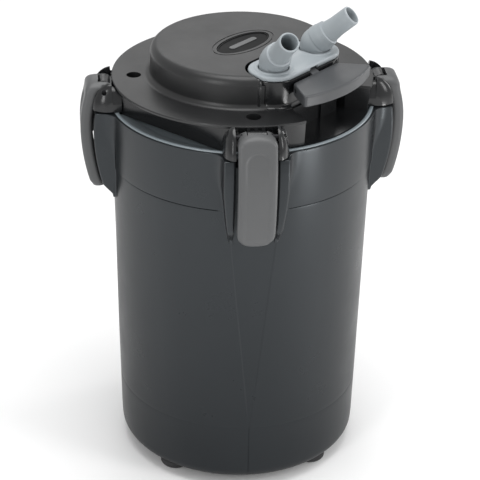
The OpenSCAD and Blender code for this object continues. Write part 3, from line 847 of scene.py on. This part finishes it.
def clip_mount(angle):
    """A clip's two ears and the hinge block between them."""
    mounts = []
    for side in (-1, 1):
        rings = []
        for y in (16, 17.5, 18.5, 20, 21.5, 22.8, 23.9, 24.7, 25):
            grow = math.sqrt(1 - (max(0, y - 17) / 8.4) ** 2)
            shelf_z = EAR_LOW_Z + 18 * grow
            ring = [(97, EAR_LOW_Z), (97, shelf_z), (103.6 + 0.8 * grow, shelf_z)]
            for a in np.linspace(86, 0, 16):
                t = math.radians(a)
                out, up = 16.2 * grow * math.cos(t), 21.6 * grow * math.sin(t)
                ring.append((103.6 + out, EAR_LOW_Z + up))
            rings.append([(x, side * y, z) for x, z in ring])
        mounts.append(turn(loft("ear", rings), angle))
    block = [(97, 313), (97, 328.9), (103.6, 328.4), (105.2, 328.0)]
    block += arc(PIVOT_R, PIVOT_Z, 4.2, 120, -110, 14)
    mounts.append(side_prism("block", block, -7, 7, angle))
    for y in (-5.6, 0, 5.6):
        rib = [(103.2, 322), (103.2, 331), (104.3, 331), (104.3, 326), (104.2, 322)]
        mounts.append(side_prism("rib", rib, y - 1.2, y + 1.2, angle))
    return mounts


def lid_body():
    floor = [(x, y, LID_Z) for x, y in lid_outline(LID_R, GRIP_X)]
    floor_top = [(x, y, LID_FLOOR_Z) for x, y in lid_outline(LID_R, GRIP_X)]
    body = loft("lid_body", [floor, floor_top])
    levels = ((LID_FLOOR_Z - 0.4, 0.0), (318, 0.7), (FLANGE_LOW_Z, 1.6))
    rings = [[(x, y, z) for x, y in lid_outline(LID_R + d, GRIP_X)] for z, d in levels]
    skirt = loft("skirt", rings)
    inner = prism("inner", lid_outline(LID_R - 3.1, GRIP_X - 3), LID_FLOOR_Z, FLANGE_LOW_Z + 1)
    pocket = prism("pocket", notch_outline(3), LID_FLOOR_Z - 1, FLANGE_LOW_Z + 2)
    cut(inner, pocket)
    cut(skirt, inner, prism("notch", notch_outline(), LID_FLOOR_Z, FLANGE_LOW_Z + 2))
    window = [(-34.5, NOTCH_Y - 5), (36, NOTCH_Y - 5), (36, NOTCH_Y + 5), (-34.5, NOTCH_Y + 5)]
    cut(skirt, prism("window", window, LID_FLOOR_Z, FLANGE_LOW_Z + 2))
    add(body, skirt)
    for angle in QUARTERS:
        add(body, *clip_mount(angle))
    holes = []
    for x, r in ((PORT_X, 9.7), (-PORT_X, 8.2)):
        holes.append(rod("port", (x, PORT_Y, 300), (x, PORT_Y, 312), r, 40))
    holes.append(rod("can", (0, 12, 300), (0, 12, 312), 34.3, 64))
    cut(body, *holes)
    for angle in QUARTERS:
        c, s = math.cos(math.radians(angle)), math.sin(math.radians(angle))
        a = (PIVOT_R * c - 30 * s, PIVOT_R * s + 30 * c, PIVOT_Z)
        b = (PIVOT_R * c + 19.6 * s, PIVOT_R * s - 19.6 * c, PIVOT_Z)
        cut(body, rod("pin_hole", a, b, PIN_R, 24))
        place = (SCREW_R * c, SCREW_R * s)
        add(body, rod("post", (*place, LID_FLOOR_Z - 1), (*place, CUP_Z), CUP_R, 40))
        cut(body, rod("screw_hole", (*place, 312), (*place, 322), 1.9, 20))
    round_edges(body, 0.7, 2, 30)
    return smooth(body, 30)


def cover_section():
    """The head cover's turned outline: flange, dome with a hollow foot and a round shoulder."""
    dome_round, foot, wall = 7, 5, 2.5
    outline = [(DOME_R - wall, FLANGE_LOW_Z), (FLANGE_R - 0.6, FLANGE_LOW_Z)]
    outline += arc(FLANGE_R - 0.9, FLANGE_Z - 0.9, 0.9, 0, 90, 4)
    outline += [(92, FLANGE_Z)]
    outline += arc(DOME_R + foot, FLANGE_Z + foot, foot, -90, -175, 8)
    outline += arc(DOME_R - dome_round, DOME_Z - dome_round, dome_round, 2, 90, 12)
    outline += [(40, DOME_Z), (8, DOME_Z), (8, DOME_Z - wall), (DOME_R - dome_round, DOME_Z - wall)]
    outline += arc(DOME_R - dome_round, DOME_Z - dome_round, dome_round - wall, 90, 0, 6)
    return outline


def port_cutter(grow, z0, z1):
    r = PLATE_R + grow
    outline = [(-PORT_X, NOTCH_Y - 8), (PORT_X, NOTCH_Y - 8)]
    outline += arc(PORT_X, PORT_Y, r, -89.9, 90, 20) + arc(-PORT_X, PORT_Y, r, 90, 269.9, 20)
    return prism("port_cutter", outline, z0, z1)


def head_shell():
    shell = revolve("head_shell", cover_section(), 160)
    add(shell, prism("crown", arc(0, 0, 9, 0, 352.5, 48), DOME_Z - 2.5, DOME_Z))
    for angle in QUARTERS:
        place = (SCREW_R * math.cos(math.radians(angle)), SCREW_R * math.sin(math.radians(angle)))
        add(shell, rod("cup", (*place, CUP_Z), (*place, FLANGE_Z - 0.5), CUP_R, 40))
        cut(shell, rod("well", (*place, CUP_Z + 2), (*place, FLANGE_Z + 2), WELL_R, 40))
        cut(shell, rod("way", (*place, 320), (*place, 324), 2.2, 24))
    cut(shell, prism("notch", notch_outline(), FLANGE_LOW_Z - 2, FLANGE_Z + 6))
    cut(shell, port_cutter(1.0, FLANGE_LOW_Z - 2, DOME_Z + 8))
    cut(shell, prism("recess", stadium(PLATE_R + 2.3), DOME_Z - 6.5, DOME_Z + 8))
    way_out = (math.cos(GLAND_TURN), math.sin(GLAND_TURN))
    ends = [(d * way_out[0], d * way_out[1], 342) for d in (62, 84)]
    cut(shell, rod("gland_hole", *ends, 3.7, 28))
    badge = [(x, y) for x, y in ellipse(28.3, 13.3)]
    cut(shell, prism("badge_recess", badge, DOME_Z - 1.3, DOME_Z + 2))
    groove = prism("groove", ellipse(32.2, 17.0), DOME_Z - 0.5, DOME_Z + 1)
    cut(groove, prism("island", ellipse(31.2, 16.0), DOME_Z - 1, DOME_Z + 2))
    cut(shell, groove)
    round_edges(shell, 0.55, 2, 40)
    return smooth(shell, 30)


def wall_bead(side):
    """Raised upright bead on the dome's wall where it ends beside the valve block."""
    edge = PORT_X + math.sqrt((PLATE_R + 4.8) ** 2 - 12 ** 2)
    tilt = math.radians(-20 * side)
    a = math.atan2(PORT_Y - 4, side * edge)
    c, s = math.cos(a), math.sin(a)
    r = DOME_R - 1.1
    points = [(r + 0.6, FLANGE_Z + 1.2), (r, FLANGE_Z + 6), (r, DOME_Z - 8)]
    points += arc(r - 6.2, DOME_Z - 7.6, 6.2, 10, 75, 5)
    rings = []
    for radius, z in points:
        ring = []
        for i in range(20):
            t = 2 * math.pi * i / 20
            thick, wide = 1.3 * math.cos(t), 2.3 * math.sin(t)
            out = radius + thick * math.cos(tilt) - wide * math.sin(tilt)
            across = thick * math.sin(tilt) + wide * math.cos(tilt)
            ring.append((out * c - across * s, out * s + across * c, z))
        rings.append(ring)
    return rings


def wall_beads():
    left = loft("wall_beads", wall_bead(-1))
    add(left, loft("bead", wall_bead(1)))
    return smooth(left, 40)


def badge_plate():
    """Plain oval badge with a raised border."""
    outer = ellipse(27.7, 12.7)
    plate = prism("badge_plate", outer, DOME_Z - 1.3, DOME_Z - 0.75)
    border = prism("border", outer, DOME_Z - 1.2, DOME_Z - 0.25)
    cut(border, prism("inside", ellipse(26.5, 11.6), DOME_Z - 2, DOME_Z + 1))
    add(plate, border)
    round_edges(plate, 0.12, 1, 40)
    return smooth(plate, 30)


def badge_bar():
    """Raised bar across the badge, where a nameplate would be."""
    outline = arc(13, 0, 2.6, -90, 90, 12) + arc(-13, 0, 2.6, 90, 270, 12)
    bar = prism("badge_bar", outline, DOME_Z - 0.8, DOME_Z - 0.3)
    round_edges(bar, 0.2, 2, 40)
    return smooth(bar, 30)


# ---- Clips ----


def clip_side_outline():
    """Side view of a clip's bowed plate, from the hub down to the tip and back."""
    outline = arc(115.5, 322, 9.8, 118, 0, 10)
    outline += [(float(clip_face(z)), z) for z in range(318, 244, -6)]
    tip = (float(clip_face(242)) - 5.9, 242)
    outline += arc(tip[0], tip[1], 5.1, 0, -170, 9)
    outline += [(float(clip_face(z)) - 9.5, z) for z in range(250, 312, 6)]
    return outline + [(116, 317)]


def clip_field():
    """Distance field of a clip in its own plane: x outward, y across, z up."""
    side = clip_side_outline()
    hook_side = [(107.2, 299.6), (107.2, 295.4), (119, 288.6), (123, 288.6), (123, 299.6)]
    gap_side = [(98, 318), (98, 336), (PIVOT_R, 331), (PIVOT_R, 321)]

    def field(x, y, z):
        plate = polygon_field(x, z, side)
        foot_r, top_r = 16.0, 19.5
        lower = np.where(z < 252.4, np.hypot(y, z - 236.4 - foot_r), np.abs(y)) - foot_r
        upper = np.where(z > 312.4, np.hypot(y, z - 331.9 + top_r), np.abs(y)) - top_r
        front = smooth_max(np.maximum(lower, upper), np.abs(y) - 14.9, 2.5)
        hub = np.hypot(x - PIVOT_R, z - PIVOT_Z) - 5.6
        body = smooth_max(smooth_min(plate, hub, 2.0), front, 3.6)
        hook = polygon_field(x, z, hook_side)
        body = smooth_min(body, smooth_max(hook, np.abs(y) - 10, 1.0), 1.0)
        rise = z - 310
        arch = np.where(rise > 0, np.hypot(y, rise), np.abs(y)) - 9.0
        depth = 1.3 * np.clip((z - 288) / 20, 0, 1)
        skin = clip_face(z) - depth - x
        body = smooth_max(body, -smooth_max(arch, skin, 1.6), 1.2)
        slot = np.maximum(np.hypot(x - PIVOT_R, z - PIVOT_Z) - 5.8, np.abs(y) - 7.6)
        gap = np.maximum(polygon_field(x, z, gap_side), np.abs(y) - 7.6)
        body = smooth_max(body, -np.minimum(slot, gap), 0.6)
        bore = np.hypot(x - PIVOT_R, z - PIVOT_Z) - PIN_R - 0.06
        return np.maximum(body, -bore)

    return field


def clips():
    """Four clips that share one shape."""
    step = 0.85
    master = implicit("clip", clip_field(), (103.5, -16.5, 231.5), (131.5, 16.5, 334), step)
    made = {}
    for angle, name in zip(QUARTERS, ("rear_right", "rear_left", "front_left", "front_right")):
        obj = bpy.data.objects.new("clip_arm_" + name, master.data.copy())
        bpy.context.scene.collection.objects.link(obj)
        made["clip_" + name] = smooth(turn(obj, angle), 55)
    remove(master)
    return made


# ---- Valve block, plate, elbows and lever ----


def valve_block():
    """The upper half of the valve block, with a hollow foot where it meets the flange."""
    levels = [(330, 0.0), (FLANGE_Z + 0.1, 0.0)]
    top = PLATE_Z - 0.05
    levels += [(FLANGE_Z + 0.15, 3.6), (FLANGE_Z + 0.5, 3.5)]
    levels += [(FLANGE_Z + 4.1 + y, 3.6 - x) for x, y in arc(0, 0, 3.6, -90, 0, 6)[1:]]
    levels += [(top - 0.8, 0.0), (top - 0.2, -0.3), (top, -0.8)]
    rings = [[(x, y, z) for x, y in stadium(PLATE_R + d)] for z, d in levels]
    block = loft("valve_block", rings)
    cut(block, prism("front_cut", notch_outline(-0.6), 331.5, 337))
    relief_r = LEVER_NOSE_R + 0.3
    cut(block, rod("relief", (-30, LEVER_Y, LEVER_Z), (30, LEVER_Y, LEVER_Z), relief_r, 40))
    arm_side = arc(0, 0, 3.1, 180, 0, 12) + [(3.1, -4.5), (7, -8), (7, -16), (-3.1, -6)]
    for x in (-BRACKET_X, BRACKET_X):
        rings = [[(x + d, LEVER_Y + u, LEVER_Z + v) for u, v in arm_side] for d in (-2.3, 2.3)]
        add(block, loft("arm", rings))
    cutters = [rod("barrel", (-37.8, PORT_Y, 330), (37.8, PORT_Y, 330), 13.05, 48)]
    for y, z in ((PORT_Y, 330), (LEVER_Y, LEVER_Z)):
        cutters.append(rod("gear_room", (-4.6, y, z), (4.6, y, z), GEAR_R + 1.7, 40))
    for x in (-PORT_X, PORT_X):
        cutters.append(rod("way", (x, PORT_Y, 325), (x, PORT_Y, 347), 6, 32))
        cutters.append(rod("socket", (x, PORT_Y, 345), (x, PORT_Y, 356), 9.7, 40))
        cutters.append(rod("mouth", (x, PORT_Y, 350), (x, PORT_Y, 356), 13.4, 40))
    cutters.append(rod("pin", (-30, LEVER_Y, LEVER_Z), (30, LEVER_Y, LEVER_Z), LEVER_PIN_R, 24))
    cut(block, *cutters)
    round_edges(block, 0.35, 1, 45)
    return smooth(block, 34)


def plate_field(x, y, z):
    """The connector plate: rounded rim, collar round each port and a smooth saddle between."""
    along = np.clip(x, -PORT_X, PORT_X)
    edge = np.hypot(x - along, y - PORT_Y) - PLATE_R - 0.1
    slab = np.maximum(PLATE_Z - z, z - PLATE_Z - 4)
    body = smooth_max(edge, slab, 1.8)
    body = np.maximum(body, PLATE_Z - z)
    for port in (-PORT_X, PORT_X):
        from_port = np.hypot(x - port, y - PORT_Y)
        collar = smooth_max(from_port - 14.6, z - PLATE_Z - 4.9, 0.8)
        body = smooth_min(body, np.maximum(collar, PLATE_Z + 1 - z), 1.2)
    height = np.hypot(y - PORT_Y, z - (PLATE_Z - 13.6)) - 19.4
    saddle = smooth_max(height, np.abs(x) - 12.5, 2.5)
    saddle = np.maximum(np.maximum(saddle, PLATE_Z + 1 - z), edge + 0.4)
    body = smooth_min(body, saddle, 3.0)
    for port in (-PORT_X, PORT_X):
        hole = np.hypot(x - port, y - PORT_Y) - 11.9
        body = smooth_max(body, -hole, 0.9)
    room = np.maximum(np.hypot(y - LEVER_Y, z - LEVER_Z) - 16.7, np.abs(x) - 4.6)
    room = np.maximum(room, z - PLATE_Z - 2.2)
    return np.maximum(body, -room)


def port_plate():
    reach = PORT_X + PLATE_R + 1.5
    corner = (-reach, PORT_Y - PLATE_R - 1.5, PLATE_Z - 1)
    far_corner = (reach, PORT_Y + PLATE_R + 1.5, PLATE_Z + 7.5)
    plate = implicit("port_plate", plate_field, corner, far_corner, 0.7)
    return smooth(plate, 50)


def elbow_path(slope, length):
    """Centre line of an elbow: up the port, round the bend, out along the nozzle.

    Gives the point, the direction and the distance from the bend for each station.
    """
    bend, up_to = 9.0, 90 - slope
    reach = bend * math.tan(math.radians(up_to / 2))
    stations = []
    for z in (345.4, 346.0, 349.0, 350.4, 350.6, 351.0, 352.6, 353.0, 353.2, 353.8):
        stations.append(((0, z), 90, z - 363))
    for a in np.linspace(0, up_to, 12):
        t = math.radians(a)
        point = (bend * (1 - math.cos(t)), 363 - reach + bend * math.sin(t))
        stations.append((point, 90 - a, 0))
    along = (reach + 0.4, reach + 0.7, 9.3, 9.8, 12, 14.2, 14.8, 15.1, 15.4, 19, 23.4, 30)
    for d in (*along, length - 1.2, length - 0.5, length):
        t = math.radians(slope)
        stations.append(((d * math.cos(t), 363 + d * math.sin(t)), slope, d))
    return stations


def elbow_radius(station, length):
    """Outer radius at a station: spigot, collar, bulbous bend, ring, sleeve, step and nozzle."""
    (x, z), heading, d = station
    if heading == 90 and d < 0:
        steps = ((350.5, 9.64), (350.8, 12.3), (352.8, 12.8), (353.1, 12.3), (353.5, 11.3))
        for top, r in steps:
            if z < top:
                return r
        return 11.0
    if d == 0:
        return 11.2 + 0.5 * math.sin(math.radians((90 - heading) / 47.5 * 180))
    if d < 8.0:
        return 11.5
    if d < 9.5:
        return 11.2
    if d < 15.0:
        return 10.9 - (d - 9.8) * 0.14
    if d < 15.3:
        return 9.4
    if d < 23:
        return 8.9 - (d - 15.4) * 0.11
    return 8.0 if d < length - 0.8 else (7.8 if d < length - 0.1 else 7.3)


def elbow_shell(name, side, turn_out):
    """One hose elbow: a swept outside and a swept bore, closed at both ends."""
    slope, length, bore, around = 42.5, 39.4, 6.5, 44
    stations = elbow_path(slope, length)

    def ring(station, r):
        (x, z), heading, _ = station
        t = math.radians(heading)
        across = (-math.sin(t), math.cos(t))
        points = []
        for i in range(around):
            a = 2 * math.pi * i / around
            u, v = r * math.cos(a), r * math.sin(a)
            points.append((x + across[0] * u, v, z + across[1] * u))
        return points

    rings = [ring(s, elbow_radius(s, length)) for s in stations]
    rings.append(ring(stations[-1], bore + 0.25))
    rings += [ring(s, bore) for s in reversed(stations[8:]) if s is not stations[-1]]
    rings += [ring(stations[0], bore), ring(stations[0], bore + 1.5)]
    elbow = loft(name, rings, closed=True)
    elbow.data.transform(Matrix.Rotation(math.radians(-90 + side * turn_out), 4, "Z"))
    elbow.data.transform(Matrix.Translation((side * PORT_X * MM, PORT_Y * MM, 0)))
    return smooth(elbow, 38)


def lever_field(x, y, z):
    """The lever's plate: straight inner edge, bowed outer edge, rounded corners and edges."""
    slant = math.atan2(LEVER_HALF_OUT - LEVER_HALF_IN, 94 - 72)
    side = (np.abs(x) - LEVER_HALF_IN) * math.cos(slant) + (y + 72) * math.sin(slant)
    plan = smooth_max(np.hypot(x, y) - LEVER_R, side, 3.0)
    plan = smooth_max(plan, y - LEVER_EDGE_Y, 1.6)
    dish = 0.5 * np.exp(-((x / 26) ** 2) - ((y + 88) / 8) ** 2)
    body = smooth_max(plan, np.maximum(LEVER_LOW_Z - z, z - LEVER_TOP_Z + dish), 1.5)
    body = np.maximum(body, plan)
    nose = np.minimum(y - LEVER_Y, np.hypot(y - LEVER_Y, z - LEVER_Z) - LEVER_NOSE_R)
    body = np.maximum(body, nose)
    for middle in (-BRACKET_X, BRACKET_X):
        slot_low = (middle - 2.9, LEVER_Y - 4.6, LEVER_LOW_Z - 2)
        slot = box_field(x, y, z, slot_low, (middle + 2.9, -50, LEVER_Z + 3.8))
        body = np.maximum(body, -slot)
    bore = np.hypot(y - LEVER_Y, z - LEVER_Z) - LEVER_PIN_R - 0.06
    return np.maximum(body, -bore)


def lever_arm():
    arm = implicit("lever_arm", lever_field, (-46, -105, 340.5), (46, -69, 353.5), 0.75)
    mesh_angle = math.degrees(math.atan2(330 - LEVER_Z, LEVER_Y * -1 + PORT_Y))
    teeth = gear_outline(GEAR_R, GEAR_TEETH, mesh_angle + 180 / GEAR_TEETH)
    rings = []
    for x in (-GEAR_W / 2, GEAR_W / 2):
        rings.append([(x, LEVER_Y + u, LEVER_Z + v) for u, v in teeth])
    sector = loft("sector", rings)
    a0, a1 = math.radians(mesh_angle - 9), math.radians(mesh_angle + 66)
    wedge = [(-6, -4), (-6, 0)]
    wedge[1:1] = [(30 * math.cos(a), 30 * math.sin(a)) for a in (a0, a1)]
    keep = loft("keep", [[(x, LEVER_Y + u, LEVER_Z + v) for u, v in wedge] for x in (-8, 8)])
    combine(sector, [keep], "INTERSECT")
    cut(sector, rod("bore", (-9, LEVER_Y, LEVER_Z), (9, LEVER_Y, LEVER_Z), LEVER_PIN_R + 0.06, 24))
    add(arm, sector)
    return smooth(arm, 45)


def gland_sleeve():
    """Ribbed rubber gland on the dome's wall, behind the right-hand side."""
    section = [(3.3, 0), (7, 0), (7, 3.6), (6.6, 4.6), (5.9, 5)]
    for i in range(3):
        y = 5.6 + i * 2.6
        rib, waist = 5.4 - i * 0.25, 4.6 - i * 0.2
        section += [(rib, y), (rib, y + 1.3), (waist, y + 1.5), (waist, y + 2.4)]
    section += [(4.6, 13.2), (4.3, 14), (3.3, 14)]
    sleeve = revolve("gland_sleeve", section, 40)
    sleeve.data.transform(Matrix.Rotation(math.radians(90), 4, "Y"))
    sleeve.data.transform(Matrix.Translation(((DOME_R + 0.05) * MM, 0, 342 * MM)))
    sleeve.data.transform(Matrix.Rotation(GLAND_TURN, 4, "Z"))
    return smooth(sleeve, 35)


# ---- Assembly ----


def dress(obj, material, node=None, body="housing"):
    """Gives a piece its material, and its place in the frame."""
    obj.data.materials.clear()
    obj.data.materials.append(material)
    if node:
        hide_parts(node)
    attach(obj, body)
    return obj


def dress_frame(materials):
    """New materials for the CAD nodes that stay."""
    kept = {
        "rubber": ("feet", "lid_gasket", "port_seals", "shaft_bushes"),
        "steel": ("lever_pin", "motor_screws"),
        "dark_steel": ("cover_screws", "clip_pins"),
        "gloss_black": ("valve_base", "motor_housing"),
        "port_plastic": ("valve_plug_inlet", "valve_plug_outlet", "valve_gear"),
        "core_steel": ("stator_core",),
        "coil_copper": ("stator_coil",),
        "magnet": ("rotor_magnet",),
        "impeller_plastic": ("impeller",),
        "shaft_ceramic": ("impeller_shaft",),
        "basket_plastic": (
            "pump_chamber", "outlet_duct", "intake_tube",
            "basket_lower", "basket_middle", "basket_upper"
        ),
        "media_ceramic": ("bio_media",),
        "foam": ("coarse_foam",),
        "filter_floss": ("fine_pad",),
    }
    for material, nodes in kept.items():
        for name in nodes:
            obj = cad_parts[name]
            obj.data.materials.clear()
            obj.data.materials.append(materials[material])


def build():
    materials = make_materials()
    add_stage()
    dress_frame(materials)
    head = materials["head_plastic"]
    gloss = materials["gloss_black"]
    port = materials["port_plastic"]
    dress(canister_shell(), materials["canister_plastic"], "canister")
    dress(seal_ring(), materials["ring_plastic"], "seal_frame")
    dress(lid_body(), gloss, "lid_base")
    dress(head_shell(), head, "head_cover")
    dress(wall_beads(), gloss)
    dress(badge_plate(), materials["badge_plastic"], "badge")
    dress(badge_bar(), materials["clip_plastic"])
    dress(valve_block(), gloss, "valve_top")
    dress(port_plate(), port, "connector_plate")
    dress(gland_sleeve(), materials["rubber"], "cable_gland")
    dress(lever_arm(), materials["lever_plastic"], "lever", "lever")
    for name, side, turn_out in (("elbow_inlet", 1, 23), ("elbow_outlet", -1, 29)):
        dress(elbow_shell("hose_" + name, side, turn_out), port, name, name)
    for name, obj in clips().items():
        dress(obj, materials["clip_plastic"], name, name)


add_camera()
build()
